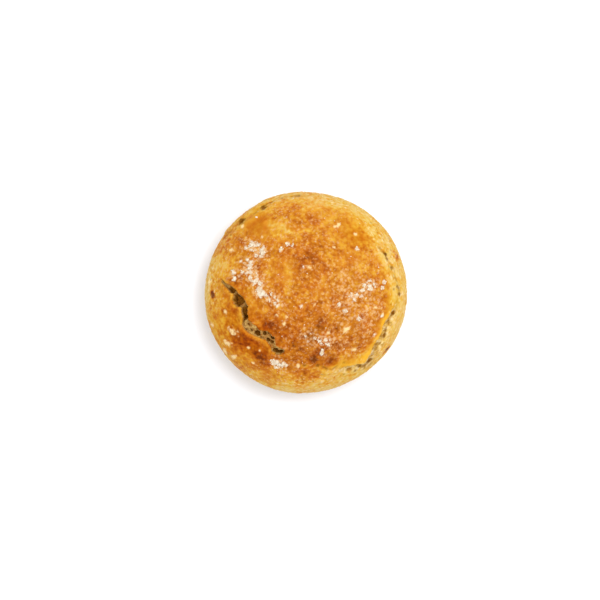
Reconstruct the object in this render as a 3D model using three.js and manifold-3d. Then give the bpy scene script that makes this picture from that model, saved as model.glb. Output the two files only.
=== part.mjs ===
// Spelt bread roll: a round hearth-baked roll in one piece, standing on its flat base.
// A ragged split runs across the left shoulder of the domed crust, the right edge of the crust has
// lifted off the pale side as a torn ledge, and pinholes line the seam between crust and side.
// Units are millimetres, +Z is up, and the origin is the middle of the base.
import * as THREE from "three";
import { LoftGeometry } from "three/addons/geometries/LoftGeometry.js";
import { mergeVertices } from "three/addons/utils/BufferGeometryUtils.js";
import Module from "manifold-3d";

// Driving dimensions of the whole roll.
const ROLL_DIAMETER = 95;
const ROLL_HEIGHT = 50;
const WIDEST_HEIGHT = 0.38 * ROLL_HEIGHT;
const BASE_CUT = 0.16 * ROLL_HEIGHT; // height of the round underside that the flat base takes off
const CROWN_FULLNESS = 2.25; // exponent of the oval profile: 2 is an ellipse, more is fuller
const UNDERSIDE_FULLNESS = 2.4;
const FACET_DIVISIONS = 20; // cuts in each edge of the icosahedron that the body starts from
const CRUST_COLOUR = 0xc98a3c;
const CRUST_ROUGHNESS = 0.75;

// The outline in plan departs from a circle by these shares of the radius.
const OUTLINE_LOBES = [
  { count: 2, peak: 0.55, share: 0.008 },
  { count: 3, peak: 2.0, share: 0.004 },
  { count: 5, peak: 0.8, share: 0.003 },
];

// Broad swellings of the dough: waves in directions spread by the golden angle.
const SWELL_WAVES = 7;
const SWELL_HEIGHT = 0.32;
const SWELL_FREQUENCY = 3.2;
const GOLDEN_ANGLE = Math.PI * (3 - Math.sqrt(5));

// Every path in plan below is sampled this many times along its length.
const CURVE_SAMPLES = 80;

// The split, as a path in plan from the left rim to the lower middle, and its cross-section.
const SPLIT_PATH = planCurve(
  [-40.2, 6.4], [-35, 1.6], [-29.6, -6], [-26.2, -14.2], [-19.2, -20.4], [-9.8, -27.8],
);
const SPLIT_WIDTH = 4.6;
const SPLIT_DEPTH = 5.2;
const SPLIT_LEAN = 0.35; // the bottom reaches under the upper lip by this share of the depth
const SPLIT_STATIONS = 26;
const SPLIT_FLOOR_POINTS = 7;
const SPLIT_END_SHARE = 0.06; // width and depth left at both tips
const SPLIT_TAPER = 0.6; // exponent of the taper to the tips: less is blunter
const SPLIT_RAGGED = [
  { waves: 21, shift: 0, share: 0.16 },
  { waves: 47, shift: 1, share: 0.1 },
];
const LIP_HEIGHT = 0.9;
const LIP_REACH = 4.5;

// Holes in the crumb at the bottom of the split: place along it, and radius.
const SPLIT_POCKETS = [
  { along: 0.17, radius: 1.0 },
  { along: 0.29, radius: 2.1 },
  { along: 0.44, radius: 1.5 },
  { along: 0.68, radius: 1.4 },
  { along: 0.8, radius: 1.2 },
  { along: 0.93, radius: 1.1 },
];

// The torn ledge below the crust's right edge: its upper lip in plan, then the step down and the ledge.
const TEAR_PATH = planCurve(
  [32, 24.5], [38.6, 15], [43.2, 3], [41.6, -9.6], [37, -14.6],
  [31.6, -24.6], [24.8, -30.4], [17, -33.4], [7.6, -33.6],
);
const TEAR_DEPTH = 1.9;
const TEAR_LEDGE = 4.2;
const TEAR_FLOOR = 0.9; // depth halfway down the ledge, as a share of the step
const TEAR_FOOT = 0.35; // depth at the foot of the ledge
const TEAR_DEEPEST = 0.58; // share of the path where the ledge is deepest and widest
const TEAR_RISE = 0.8; // share of the path over which the ledge grows to that place
const TEAR_FALL = 0.44; // and over which it fades again
const TEAR_END_SHARE = 0.05;
const TEAR_STATIONS = 40;

// Shallow folds in the crust, where the dough was drawn together.
const FOLDS = [
  planCurve([-17, 33], [-10.6, 30.4], [-2.6, 29], [3.4, 29.8], [9.4, 33], [14, 36.6]),
  planCurve([-8.6, 14], [-7.4, 7], [-9.2, 0.6]),
];
const FOLD_DEPTH = 0.7;
const FOLD_REACH = 2.6;

// Pinholes at the seam of crust and side: bearing from +X in degrees, share of the outline's radius,
// and size.
const PINHOLES = [
  { bearing: 26, share: 0.885, radius: 0.9 },
  { bearing: 14, share: 0.9, radius: 0.8 },
  { bearing: -13, share: 0.9, radius: 1.2 },
  { bearing: -33, share: 0.875, radius: 1.2 },
  { bearing: -46, share: 0.91, radius: 1.6 },
  { bearing: -58, share: 0.92, radius: 1.0 },
  { bearing: 104, share: 0.955, radius: 0.8 },
  { bearing: 116, share: 0.94, radius: 1.2 },
  { bearing: 133, share: 0.95, radius: 1.5 },
  { bearing: 147, share: 0.965, radius: 1.0 },
  { bearing: 182, share: 0.925, radius: 1.3 },
];
const PINHOLE_STRETCH = 1.7; // length along the seam over width
const CUT_CLEARANCE = 1.5; // how far a cutter stands out of the surface

const wasm = await Module();
wasm.setup();

// A smooth curve in plan through a few points, sampled evenly.
function planCurve(...points) {
  const curve = new THREE.CatmullRomCurve3(points.map(([x, y]) => new THREE.Vector3(x, y, 0)));
  return curve.getSpacedPoints(CURVE_SAMPLES);
}

// The point and the sideways direction of a plan curve at a share of its length, left of its run.
function onCurve(curve, share) {
  const place = share * (curve.length - 1);
  const step = Math.min(Math.floor(place), curve.length - 2);
  const point = curve[step].clone().lerp(curve[step + 1], place - step);
  const run = curve[step + 1].clone().sub(curve[step]).normalize();
  return { point, across: new THREE.Vector3(-run.y, run.x, 0) };
}

// How far a place lies from a plan curve, and the share of the curve's length where it is nearest.
function nearestOnCurve(curve, place) {
  const distances = curve.map((point) => Math.hypot(point.x - place.x, point.y - place.y));
  const distance = Math.min(...distances);
  return { distance, along: distances.indexOf(distance) / (curve.length - 1) };
}

function outlineRadius(bearing) {
  const lobes = OUTLINE_LOBES.map(({ count, peak, share }) => share * Math.cos(count * (bearing - peak)));
  return (ROLL_DIAMETER / 2) * lobes.reduce((sum, lobe) => sum + lobe, 1);
}

// The outward direction of the crown, as on an ellipsoid of the roll's half-axes.
function outward(point) {
  const halfWidth = ROLL_DIAMETER / 2;
  const halfHeight = point.z > WIDEST_HEIGHT ? ROLL_HEIGHT - WIDEST_HEIGHT : WIDEST_HEIGHT + BASE_CUT;
  return new THREE.Vector3(
    point.x / halfWidth ** 2,
    point.y / halfWidth ** 2,
    (point.z - WIDEST_HEIGHT) / halfHeight ** 2,
  ).normalize();
}

// Where a direction from the roll's middle meets the smooth body: a dome above the widest ring,
// a bowl below it.
function bodyPoint(direction) {
  const isCrown = direction.z >= 0;
  const power = 2 / (isCrown ? CROWN_FULLNESS : UNDERSIDE_FULLNESS);
  const rise = isCrown ? ROLL_HEIGHT - WIDEST_HEIGHT : -(WIDEST_HEIGHT + BASE_CUT);
  const bearing = Math.atan2(direction.y, direction.x);
  const radius = outlineRadius(bearing) * Math.hypot(direction.x, direction.y) ** power;
  const height = WIDEST_HEIGHT + rise * Math.abs(direction.z) ** power;
  return new THREE.Vector3(radius * Math.cos(bearing), radius * Math.sin(bearing), height);
}

// Swellings fade out at the widest ring, which keeps the outline's own lobes.
function swell(direction) {
  let sum = 0;
  for (let wave = 0; wave < SWELL_WAVES; wave += 1) {
    const level = 1 - (2 * wave + 1) / SWELL_WAVES;
    const ring = Math.sqrt(1 - level * level);
    const bearing = wave * GOLDEN_ANGLE;
    const course = new THREE.Vector3(ring * Math.cos(bearing), ring * Math.sin(bearing), level);
    sum += Math.sin((SWELL_FREQUENCY + wave / 2) * direction.dot(course) + bearing);
  }
  return SWELL_HEIGHT * Math.abs(direction.z) * sum;
}

// A smooth bump of height 1 at distance 0 that ends at the reach.
function bump(distance, reach) {
  return distance < reach ? 0.5 + 0.5 * Math.cos((Math.PI * distance) / reach) : 0;
}

// Raised lips beside the split and sunken folds, on the crown alone.
function crustRelief(point) {
  if (point.z < WIDEST_HEIGHT) return 0;
  const split = nearestOnCurve(SPLIT_PATH, point);
  const lips = LIP_HEIGHT * Math.sin(Math.PI * split.along) * bump(split.distance, LIP_REACH);
  const folds = FOLDS.map((fold) => bump(nearestOnCurve(fold, point).distance, FOLD_REACH));
  return lips - FOLD_DEPTH * Math.max(...folds);
}

// The surface of the uncut roll in a direction from its middle.
function surfacePoint(direction) {
  const point = bodyPoint(direction);
  return point.addScaledVector(outward(point), swell(direction) + crustRelief(point));
}

// The surface and its outward direction over a place in plan.
function onCrown(x, y) {
  const bearing = Math.atan2(y, x);
  const share = Math.min(Math.hypot(x, y) / outlineRadius(bearing), 1);
  const spread = share ** (CROWN_FULLNESS / 2);
  const direction = new THREE.Vector3(
    spread * Math.cos(bearing),
    spread * Math.sin(bearing),
    Math.sqrt(1 - spread * spread),
  );
  const point = surfacePoint(direction);
  return { point, normal: outward(point) };
}

function bodyGeometry() {
  const geometry = new THREE.IcosahedronGeometry(1, FACET_DIVISIONS);
  const position = geometry.getAttribute("position");
  const direction = new THREE.Vector3();
  for (let vertex = 0; vertex < position.count; vertex += 1) {
    direction.fromBufferAttribute(position, vertex).normalize();
    const point = surfacePoint(direction);
    position.setXYZ(vertex, point.x, point.y, point.z);
  }
  return geometry;
}

function baseCutter() {
  const side = 2 * ROLL_DIAMETER;
  return new THREE.BoxGeometry(side, side, ROLL_HEIGHT).translate(0, 0, -ROLL_HEIGHT / 2);
}

// Width and depth along the split, as a share of the greatest: thin tips and a ragged middle.
function splitFullness(along) {
  const waves = SPLIT_RAGGED.map((wave) => wave.share * Math.sin(wave.waves * along + wave.shift));
  const ragged = waves.reduce((sum, wave) => sum + wave, 1);
  return SPLIT_END_SHARE + (1 - SPLIT_END_SHARE) * Math.sin(Math.PI * along) ** SPLIT_TAPER * ragged;
}

// One section of the split: a leaning half oval below the surface, closed above it.
function splitSection(along) {
  const { point: plan, across } = onCurve(SPLIT_PATH, along);
  const { point, normal } = onCrown(plan.x, plan.y);
  const halfWidth = (SPLIT_WIDTH / 2) * splitFullness(along);
  const depth = SPLIT_DEPTH * splitFullness(along);
  const place = (sideways, height) =>
    point.clone().addScaledVector(across, sideways).addScaledVector(normal, height);
  const section = [];
  for (let step = 0; step < SPLIT_FLOOR_POINTS; step += 1) {
    const turn = (Math.PI * step) / (SPLIT_FLOOR_POINTS - 1);
    const sunk = Math.sin(turn);
    section.push(place(halfWidth * Math.cos(turn) + SPLIT_LEAN * depth * sunk, -depth * sunk));
  }
  section.push(place(-halfWidth, CUT_CLEARANCE), place(halfWidth, CUT_CLEARANCE));
  return section.reverse();
}

function splitCutter() {
  const sections = [];
  for (let station = 0; station <= SPLIT_STATIONS; station += 1) {
    sections.push(splitSection(station / SPLIT_STATIONS));
  }
  return new LoftGeometry(sections, { capStart: true, capEnd: true });
}

function pocketCutter({ along, radius }) {
  const { point: plan, across } = onCurve(SPLIT_PATH, along);
  const { point, normal } = onCrown(plan.x, plan.y);
  const floor = SPLIT_DEPTH * splitFullness(along);
  point.addScaledVector(normal, -floor).addScaledVector(across, SPLIT_LEAN * floor);
  return new THREE.IcosahedronGeometry(radius, 1).translate(point.x, point.y, point.z);
}

// One section of the torn ledge: a step down under the lip that runs out to the surface further down
// the side.
function tearSection(along) {
  const { point: plan } = onCurve(TEAR_PATH, along);
  const fade = along < TEAR_DEEPEST ? TEAR_RISE : TEAR_FALL;
  const fullness = TEAR_END_SHARE + (1 - TEAR_END_SHARE) * bump(Math.abs(along - TEAR_DEEPEST), fade);
  const { point, normal } = onCrown(plan.x, plan.y);
  const bearing = Math.atan2(plan.y, plan.x);
  const sideways = new THREE.Vector3(-Math.sin(bearing), Math.cos(bearing), 0);
  const downhill = sideways.clone().cross(normal);
  const ledge = TEAR_LEDGE * fullness;
  const depth = TEAR_DEPTH * fullness;
  const place = (down, height) =>
    point.clone().addScaledVector(downhill, down).addScaledVector(normal, height);
  return [
    place(0, -depth),
    place(ledge / 2, -TEAR_FLOOR * depth),
    place(ledge, -TEAR_FOOT * depth),
    place(ledge, CUT_CLEARANCE),
    place(0, CUT_CLEARANCE),
  ];
}

function tearCutter() {
  const sections = [];
  for (let station = 0; station <= TEAR_STATIONS; station += 1) {
    sections.push(tearSection(station / TEAR_STATIONS));
  }
  return new LoftGeometry(sections, { capStart: true, capEnd: true });
}

function pinholeCutter({ bearing, share, radius }) {
  const turn = THREE.MathUtils.degToRad(bearing);
  const reach = share * outlineRadius(turn);
  const { point } = onCrown(reach * Math.cos(turn), reach * Math.sin(turn));
  const hole = new THREE.IcosahedronGeometry(radius, 1).scale(1, PINHOLE_STRETCH, 1).rotateZ(turn);
  return hole.translate(point.x, point.y, point.z);
}

// A closed geometry as a solid that can be cut.
function solidFrom(geometry) {
  const bare = new THREE.BufferGeometry().setAttribute("position", geometry.getAttribute("position"));
  const merged = mergeVertices(bare.setIndex(geometry.index));
  const vertProperties = new Float32Array(merged.getAttribute("position").array);
  const triVerts = new Uint32Array(merged.index.array);
  return new wasm.Manifold(new wasm.Mesh({ numProp: 3, vertProperties, triVerts }));
}

function geometryFrom(solid) {
  const { vertProperties, triVerts } = solid.getMesh();
  const geometry = new THREE.BufferGeometry();
  geometry.setAttribute("position", new THREE.BufferAttribute(vertProperties, 3));
  geometry.setIndex(new THREE.BufferAttribute(triVerts, 1));
  geometry.computeVertexNormals();
  return geometry;
}

function rollGeometry() {
  const cutters = [
    baseCutter(),
    tearCutter(),
    splitCutter(),
    ...SPLIT_POCKETS.map(pocketCutter),
    ...PINHOLES.map(pinholeCutter),
  ];
  const body = solidFrom(bodyGeometry());
  return geometryFrom(cutters.reduce((rest, cutter) => rest.subtract(solidFrom(cutter)), body));
}

// Moves a geometry sideways until its box stands on the middle of the origin.
function centred(geometry) {
  geometry.computeBoundingBox();
  const middle = geometry.boundingBox.getCenter(new THREE.Vector3());
  return geometry.translate(-middle.x, -middle.y, 0);
}

const crust = new THREE.MeshStandardMaterial({
  color: CRUST_COLOUR,
  roughness: CRUST_ROUGHNESS,
  metalness: 0,
});
const roll = new THREE.Mesh(centred(rollGeometry()), crust);
roll.name = "roll";

const breadRoll = new THREE.Group();
breadRoll.add(roll);

export default breadRoll;
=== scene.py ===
"""Looks of a spelt bread roll: baked crust, crumb in its split, flour dust and a plain studio stage.

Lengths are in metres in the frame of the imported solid: +Z is up, the origin is the middle of the base.
Run as a script, the file registers its operators, calls them in order and hands the pieces to the frame.
"""

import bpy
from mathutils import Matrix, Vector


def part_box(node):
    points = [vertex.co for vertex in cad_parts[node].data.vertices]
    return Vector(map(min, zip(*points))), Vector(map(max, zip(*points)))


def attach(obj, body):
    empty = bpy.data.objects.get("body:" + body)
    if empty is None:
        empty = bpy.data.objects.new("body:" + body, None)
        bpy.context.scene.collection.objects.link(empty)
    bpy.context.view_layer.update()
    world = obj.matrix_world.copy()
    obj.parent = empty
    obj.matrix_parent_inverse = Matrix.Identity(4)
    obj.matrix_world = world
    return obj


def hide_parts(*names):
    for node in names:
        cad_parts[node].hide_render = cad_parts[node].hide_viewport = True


bl_info = {
    "name": "Spelt bread roll",
    "version": (1, 0, 0),
    "blender": (4, 5, 0),
    "location": "3D View > Sidebar > Bread roll",
    "description": "Builds the crust, crumb and flour of a round spelt roll, worked out with numpy",
    "category": "Add Mesh",
}

import itertools
import math

import bpy
import numpy as np

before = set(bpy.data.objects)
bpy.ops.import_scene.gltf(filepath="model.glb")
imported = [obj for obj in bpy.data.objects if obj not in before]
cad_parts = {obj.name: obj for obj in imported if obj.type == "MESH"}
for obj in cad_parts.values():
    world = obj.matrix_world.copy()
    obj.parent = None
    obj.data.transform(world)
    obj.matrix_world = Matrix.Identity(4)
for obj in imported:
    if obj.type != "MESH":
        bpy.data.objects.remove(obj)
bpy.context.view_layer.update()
ROLL_LOW, ROLL_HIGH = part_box("roll")
ROLL_WIDTH = (ROLL_HIGH[0] - ROLL_LOW[0] + ROLL_HIGH[1] - ROLL_LOW[1]) / 2

MM = 0.001
GOLDEN_ANGLE = math.pi * (3 - math.sqrt(5))
GRAIN_NAME = "Fine grain"
MASK_NAMES = ("bake", "flour", "dust", "torn", "lip", "hollow_shade", "cap", "fleck", "calm", "ruddy")

# The loose flour: its seed, how far lumps are moved along the crust, how much the radii of lumps and of
# single grains spread, the least and greatest sizes of a lump over its radius, and how far its corners move.
FLOUR_SEED = 7
FLOUR_JITTER = 0.3 * MM
CLUMP_SPREAD = 0.5
STRAY_SPREAD = 0.35
LUMP_SIZES = ((0.9, 1.5), (0.7, 1.1), (0.4, 0.7))
LUMP_UNEVENNESS = 0.22

# Where the soft light stands, in metres. The picture's side, and how far the roll lies right of its middle
# and above it, in pixels.
KEY_PLACE = (0.276, 0.199, 1.13)
PICTURE_SIDE = 600
PICTURE_RIGHT, PICTURE_UP = 5.8, 7.2

# The outline in plan departs from a circle by cosine waves: count, bearing of a peak, share of the radius.
OUTLINE_LOBES = ((2, 0.55, 0.008), (3, 2.0, 0.004), (5, 0.8, 0.003))

# Paths in plan, in millimetres from the middle of the roll.
SPLIT_KNOTS = ((-40.2, 6.4), (-35, 1.6), (-29.6, -6), (-26.2, -14.2), (-19.2, -20.4), (-9.8, -27.8))
TEAR_KNOTS = (
    (33.2, 22.4), (36.9, 17.7), (39.6, 12.2), (41.9, 7.2), (43.3, 0), (42.2, -5), (39.3, -8.6), (35.6, -14),
    (34.5, -18), (31.4, -23.8), (29.2, -28), (26.6, -32), (21.8, -33.2), (17.2, -34), (12.2, -35),
    (7.5, -35.2),
)
SEAM_KNOTS = ((-38, 25.9), (-29.7, 32.9), (-19.8, 39.6), (-16.2, 42.4), (-10.5, 44.7), (-3, 45.5), (4, 45.4))
FOLD_KNOTS = (
    ((-17.5, 31.8), (-11, 29.6), (-5.5, 28), (-1, 28.4), (5.5, 29.4), (10.2, 33), (13, 35.4)),
    ((-8.6, 14), (-7.4, 7), (-9.2, 0.6)),
)
CURL_KNOTS = ((6.2, -33), (8, -34.6), (10.4, -35.4), (13, -34.6), (15.6, -32.8))

# Edges of the split: share of its length, and offsets in mm of its lower left and its upper right edge.
SPLIT_EDGES = (
    (0, -0.15, 0.1), (0.06, -0.4, 0.3), (0.12, -0.7, 0.8), (0.17, -0.9, 1.5), (0.185, -0.6, 1.4),
    (0.2, 0.2, 1.2), (0.215, -0.4, 1.3), (0.25, -2.0, 1.8), (0.29, -2.6, 2.0), (0.33, -2.2, 2.1),
    (0.36, -0.2, 2.0), (0.38, -0.1, 2.1), (0.43, -1.0, 1.2), (0.47, -0.7, 1.2), (0.5, -1.8, 0.7),
    (0.52, -2.7, 0.8), (0.58, -2.9, 1.0), (0.61, -2.5, 1.2), (0.66, -1.9, 0.9), (0.73, -0.9, 2.7),
    (0.78, -0.1, 2.6), (0.82, -0.5, 2.6), (0.84, -0.7, 2.3), (0.86, -1.3, 1.2), (0.875, -1.9, 0.4),
    (0.89, -2.4, -0.1), (0.93, -2.4, 0), (0.95, -2.3, 0.4), (0.98, -1.4, 0.9), (1, -0.3, 0.3),
)

# How deep the crumb lies below the lips: share of the split's length, and depth in mm.
CRUMB_DEPTHS = (
    (0, 1.6), (0.1, 2.4), (0.13, 4), (0.18, 3.4), (0.2, 1), (0.22, 4.6), (0.32, 5), (0.345, 1.4),
    (0.36, 2.4), (0.4, 4), (0.43, 3.2), (0.47, 6), (0.5, 2), (0.53, 1.2), (0.62, 1.3), (0.68, 1.6),
    (0.8, 1.5), (0.86, 0.5), (0.95, 1.4), (1, 1.2),
)

# Holes in the crumb: share of the split's length, and in mm the offset, half length, half width and depth.
CRUMB_HOLES = (
    (0.545, -0.4, 0.7, 0.5, 1.2), (0.6, -1.2, 0.6, 0.5, 1.2), (0.667, -0.5, 1.5, 1.3, 3.4),
    (0.725, 1.4, 1.0, 0.9, 2.4), (0.816, 2.1, 1.0, 0.8, 2.4), (0.795, 0.2, 0.9, 0.8, 2.0),
    (0.84, 0.6, 0.8, 0.8, 1.8), (0.925, -1.7, 1.6, 1.2, 3.4), (0.977, -0.6, 1.4, 1.1, 3.4),
)

# Edge of the browned cap: bearing in degrees, and in mm its distance from the middle and half its width.
CAP_EDGE = (
    (-165, 48, 3.4), (-150, 51, 3.4), (-130, 50, 3.4), (-112, 44, 3.4), (-95, 41, 3), (-77, 38.7, 2.4),
    (-63, 38.4, 2), (-51, 38.8, 1.8), (-38, 39.4, 1.6), (-22, 39.6, 1.6), (-13, 40, 1.6), (4, 40, 1.5),
    (21, 39, 1.3), (30, 39, 1.3), (40, 41, 2), (60, 42.6, 3.2), (80, 44, 3.2), (100, 44.6, 3),
    (112, 46.4, 3), (135, 48, 3.4), (150, 48, 3.4), (162, 45.6, 3.4), (172, 43.6, 3.4), (180, 43.4, 3.4),
)

# Pinholes where crust and side meet: bearing in degrees, share of the outline, radius in mm, how open.
PINHOLES = (
    (46.9, 0.935, 0.45, 0.4), (33, 0.97, 0.6, 0.3), (30.9, 0.843, 0.5, 0.35), (25.6, 0.862, 0.65, 0.75),
    (16, 0.875, 0.7, 0.65), (3.9, 0.893, 0.7, 0.65), (-0.9, 0.913, 0.65, 0.75), (-13, 0.875, 0.9, 1),
    (-46.7, 0.91, 1, 0.8), (-57.8, 0.912, 0.6, 0.7), (-61.2, 0.778, 0.6, 0.5), (-80.9, 0.718, 0.8, 0.7),
    (-91.2, 0.71, 0.6, 0.7), (94, 0.955, 0.45, 0.7), (104, 0.955, 0.5, 0.7), (116.5, 0.925, 1.05, 1),
    (132, 0.94, 1.25, 1), (142.5, 0.93, 0.5, 0.6), (182, 0.925, 0.7, 0.4),
)

# Places on the cap that baked darker, or lighter where the amount is negative: x, y, reach in mm, amount.
BAKE_SPOTS = (
    (2.1, 14.3, 11, 0.16), (-3, 31.8, 4, 0.1), (4, 32.6, 5, 0.14), (0, 26.8, 5, 0.12),
    (-9.6, -17.6, 10, 0.18), (11.6, -31, 5, 0.3), (3, -30.5, 5, 0.25), (3.4, -30.6, 2.6, 0.22),
    (0.4, -36.4, 2.6, 0.2), (-20.4, -30.3, 7, 0.36), (-29, -21.5, 8, 0.3), (-25, -26.4, 6, 0.22),
    (-15, -13.5, 7, 0.2), (-19, -17, 9, 0.16), (4, -20, 17, 0.18), (-31, -8, 8, 0.2), (27, -21, 10, 0.16),
    (17, -4, 12, 0.08), (0, -44, 14, 0.25), (-18, -42, 10, 0.2), (18, -42, 9, 0.15), (18.6, 28.4, 13, -0.1),
    (-24, 34, 13, -0.06), (-13, 30, 8, -0.2), (4, 42, 10, -0.11), (-8.9, 7, 6, -0.1), (30, 14, 12, -0.08),
    (-37, 12, 11, -0.22), (-27, -29.4, 7, -0.14), (8, 37, 8, -0.08), (9, -7, 12, 0.05), (-7, -21, 7, 0.06),
    (14, -21, 7, 0.06), (-38.5, -14, 5, -0.18), (-22, -38, 5, -0.2), (-14, 42, 8, -0.06),
    (-26, 21, 7, -0.06), (-11, 27, 7, -0.05), (-29, -30, 11, -0.1), (-28, -12, 7, 0.06), (8, -28, 6, 0.08),
    (-9, 21, 7, -0.08), (7, 16, 6, -0.08), (30, -37, 8, 0.16), (14, -42, 8, 0.08), (0, 38, 5, -0.08),
)

# The same for places on the steep rim, where the reach is measured in space.
RIM_SPOTS = (
    (-43.6, -1.2, 3.6, 1), (-38.3, 25.6, 3, 0.3), (-45.2, 5.6, 2.8, -0.4), (-45.4, 1.5, 2.4, -0.4),
    (38.2, -26.6, 3.2, 0.9), (42.6, 17, 6, 0.5),
)

# Places where the crust is smooth, or mottled where the amount is negative: x, y, reach in mm, amount.
CALM_SPOTS = (
    (-22, 31, 11, 0.7), (20, 28, 12, 0.5), (-9, 6, 5, 0.5), (41, -3, 6, 0.8), (-32, -22, 20, -0.9),
)

# Places where the crust is redder, or yellower where the amount is negative: x, y, reach in mm, amount.
RUDDY_SPOTS = (
    (-24, -22, 17, 0.8), (-32, -3, 8, 0.6), (-14, -20, 10, 0.4), (29, -27, 6, 0.6), (-12, 42, 7, 0.6),
    (-28, 35, 8, 0.5), (5, 41, 8, 0.5), (-28, 16, 7, -0.5), (2, -20, 8, -0.5), (22, 4, 14, -0.5),
    (18, -12, 12, -0.3), (35, -18, 5, 0.4), (-38, 24, 7, 0.6), (0, 45, 12, 0.5), (0, -46, 14, 0.5),
)

# Pale flecks of dough: x, y, half length and half width in mm, and the length's bearing in degrees.
PALE_FLECKS = (
    (-33.7, -18.1, 2.9, 1.5, -30), (-36.3, -23.7, 2.2, 1.4, -30), (-37.8, -27.2, 1.9, 1.1, -60),
    (-37.8, -8.9, 1.3, 0.9, -50), (-10, -14.2, 1, 0.9, 0), (-8.9, -11.3, 0.8, 0.7, 0),
    (-13.3, -10.2, 1.1, 0.8, 20), (-21.4, -27, 0.7, 0.6, 0), (18.3, -16.8, 2.3, 1.3, 20),
    (10, -18.7, 1.3, 0.8, 30), (22, -26, 1.3, 0.8, 10), (35.3, -10.3, 1.6, 0.5, 80),
    (32.1, -6.9, 0.9, 0.7, 0), (14.7, 31, 2, 1.1, 20), (13, 20.9, 0.9, 0.7, 0), (23.3, 27.2, 0.9, 0.8, 0),
    (1.5, 11.6, 1.2, 1, 0), (4.2, -5.4, 1, 0.8, 0), (-34.6, 19.7, 1.5, 1.2, 0), (7.1, -27.5, 0.9, 0.8, 0),
    (-43.6, -15, 1.4, 0.7, -60), (-33.6, -29.8, 1.8, 1.2, 20), (-26.6, -25.5, 0.8, 0.6, 0),
    (-24.5, -32.8, 0.8, 0.7, 0), (-3.4, -33.8, 1, 0.8, 0), (-44.8, 5.2, 1.7, 0.8, 80),
    (-29.3, 30.6, 1.2, 0.7, 45), (-20, 25.5, 0.9, 0.6, 0), (-11.2, 20, 1, 0.8, 0),
)

# Patches of flour: x, y and reach in mm, and how thick it lies; a negative one keeps the crust clean.
FLOUR_PATCHES = (
    (-26.5, 22.2, 5, 0.55), (-22, 20, 7, 0.6), (-19, 18.5, 5, 0.4), (-33, 8, 5, 0.6), (-26, 10, 7, 0.55),
    (-23.5, 6, 6, 0.5), (-21.5, 4, 5, 0.4), (-21.4, 0, 4.4, 0.85), (-17, -2.4, 5, 0.8),
    (-12.6, -4.4, 4.6, 0.75), (27.6, 1.6, 6, 0.55), (31, 4, 4, 0.75), (23, -1, 5, 0.12), (2, -21.2, 8, 0.6),
    (9, -22.6, 6, 0.4), (-13.4, -32.4, 4, 0.85), (-9.6, -33.2, 3.4, 0.7), (27, -12, 18, 0.42),
    (15, -3, 16, 0.32), (22, 8, 16, 0.26), (-27, 14, 6, 0.4), (-24, 16, 12, 0.14), (14, -22, 13, 0.28),
    (9, 32, 10, 0.15), (-13, -34, 4, 0.4), (-20, 4, 10, 0.15), (-33, -20, 22, -0.6), (-20, -23, 12, -0.35),
    (-24, 35, 13, -0.35), (26, 29, 14, -0.45), (40, -3, 6, -0.5), (-34, -1, 9, -0.35), (31, -37, 9, -0.3),
)

# Single lumps of flour: x, y and reach in mm, and how thick they lie.
FLOUR_LUMPS = (
    (36.4, 5, 1.8, 1), (35.9, 2.5, 1.5, 0.9), (17.7, -8.4, 1.7, 1), (15.3, -5.4, 1.5, 0.9),
    (-8.3, 22.2, 1.8, 0.9), (-6.2, 21.6, 1.3, 0.7), (-11.4, 19.6, 1.7, 0.9), (24.2, 20.4, 1.6, 0.9),
    (-1.2, 11.5, 1.7, 0.6), (24.2, -12, 1.6, 0.9), (35.2, -10.6, 1.5, 0.7), (31.4, -19.5, 1.6, 0.6),
    (7.3, -27.5, 1.7, 0.8), (-2.4, -6.3, 1.5, 0.7), (-24.3, 22.4, 1.9, 1), (-14.9, -32, 2.4, 1),
    (-12.2, -33.4, 1.8, 1), (-9.8, -33, 1.7, 0.9), (-20.9, 0.2, 2.9, 1), (29.6, 3, 1.8, 0.9),
    (23.8, -1, 1.4, 0.8), (22.6, -3.2, 1.3, 0.7), (26.7, 1.2, 1.4, 0.8), (-33.7, 9.4, 1.6, 0.9),
    (-29.5, 9.4, 1.4, 0.8), (-33.2, 6.3, 1.4, 0.8), (-25.9, 11.9, 1.7, 0.9), (-30, 14.6, 1.4, 0.7),
    (-19.7, 20.1, 1.7, 0.9), (-27.5, 20.7, 1.4, 0.7),
)

# The crust's grid: half the steps across the crown, rings of the side, half the steps of the base, and the
# angle from straight up at which the side meets the base.
CROWN_HALF = 136
SIDE_RINGS = 24
BASE_HALF = CROWN_HALF // 4
SIDE_END = math.radians(139)

# Samples of the outline and of a path, steps between two of a path's knots, cells after which noise repeats.
OUTLINE_SAMPLES = 721
PATH_SAMPLES = 161
PATH_STEPS = 24
NOISE_PERIOD = 32


def setting(name, description, default, **kind):
    """A number that the user sets."""
    return bpy.props.FloatProperty(name=name, description=description, default=default, **kind)


def length_of(name, description, default):
    """A length that the user sets."""
    return setting(name, description, default, unit="LENGTH")


def share_of(name, description, default):
    """A share that the user sets."""
    return setting(name, description, default, subtype="FACTOR")


def colour_of(name, description, default):
    """A colour that the user picks, held as the screen shows it."""
    return bpy.props.FloatVectorProperty(
        name=name, description=description, subtype="COLOR_GAMMA", size=3, min=0, max=1, default=default,
    )


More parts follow.
